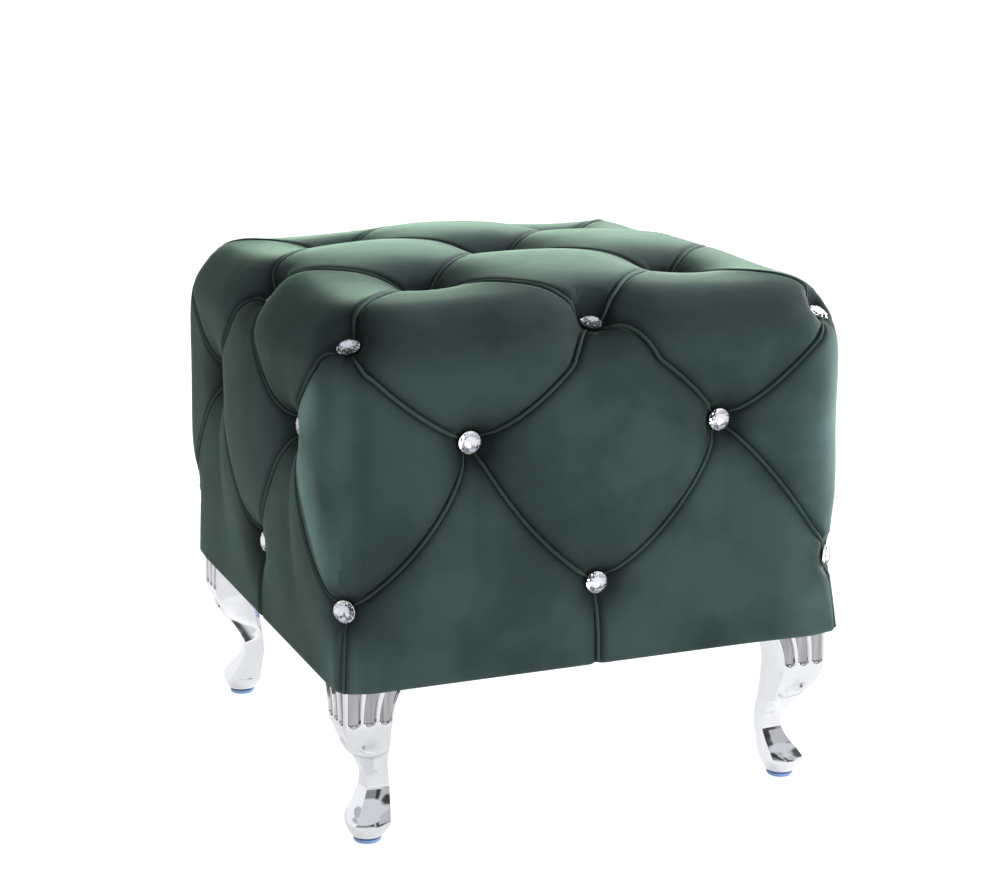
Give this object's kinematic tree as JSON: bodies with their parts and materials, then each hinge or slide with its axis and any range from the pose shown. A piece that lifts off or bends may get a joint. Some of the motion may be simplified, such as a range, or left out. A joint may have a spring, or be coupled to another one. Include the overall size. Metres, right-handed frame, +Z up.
{
  "type": "cube pouf stool",
  "caption": "Cube pouf stool: a deep-buttoned velvet body with piped diamond channels and cut glass buttons, on cast chrome cabriole legs.",
  "frame": {"origin": "on the floor, under the centre of the body", "axes": "+Z up, -Y towards the front, +X to the right seen from the front"},
  "size_m": [0.5074, 0.5089, 0.492],
  "materials": {
    "velvet": "dark green cotton velvet with a soft sheen",
    "cut_glass": "faceted clear glass, backed with silver",
    "chrome": "polished chrome plate on cast metal",
    "glide": "pale blue plastic"
  },
  "bodies": {
    "root": {"button_corner_low_back": "cut_glass", "button_corner_low_front": "cut_glass", "button_corner_low_left": "cut_glass", "button_corner_low_right": "cut_glass", "button_corner_top_back": "cut_glass", "button_corner_top_front": "cut_glass", "button_corner_top_left": "cut_glass", "button_corner_top_right": "cut_glass", "button_edge_top_back": "cut_glass", "button_edge_top_front": "cut_glass", "button_edge_top_left": "cut_glass", "button_edge_top_right": "cut_glass", "button_side_left_back": "cut_glass", "button_side_left_front": "cut_glass", "button_side_left_left": "cut_glass", "button_side_left_right": "cut_glass", "button_side_low_back": "cut_glass", "button_side_low_front": "cut_glass", "button_side_low_left": "cut_glass", "button_side_low_right": "cut_glass", "button_side_right_back": "cut_glass", "button_side_right_front": "cut_glass", "button_side_right_left": "cut_glass", "button_side_right_right": "cut_glass", "button_top_back": "cut_glass", "button_top_centre": "cut_glass", "button_top_front": "cut_glass", "button_top_left": "cut_glass", "button_top_right": "cut_glass", "glide_back_left": "glide", "glide_back_right": "glide", "glide_front_left": "glide", "glide_front_right": "glide", "leg_back_left": "chrome", "leg_back_right": "chrome", "leg_front_left": "chrome", "leg_front_right": "chrome", "tufted_body": "velvet"}
  },
  "joints": []
}
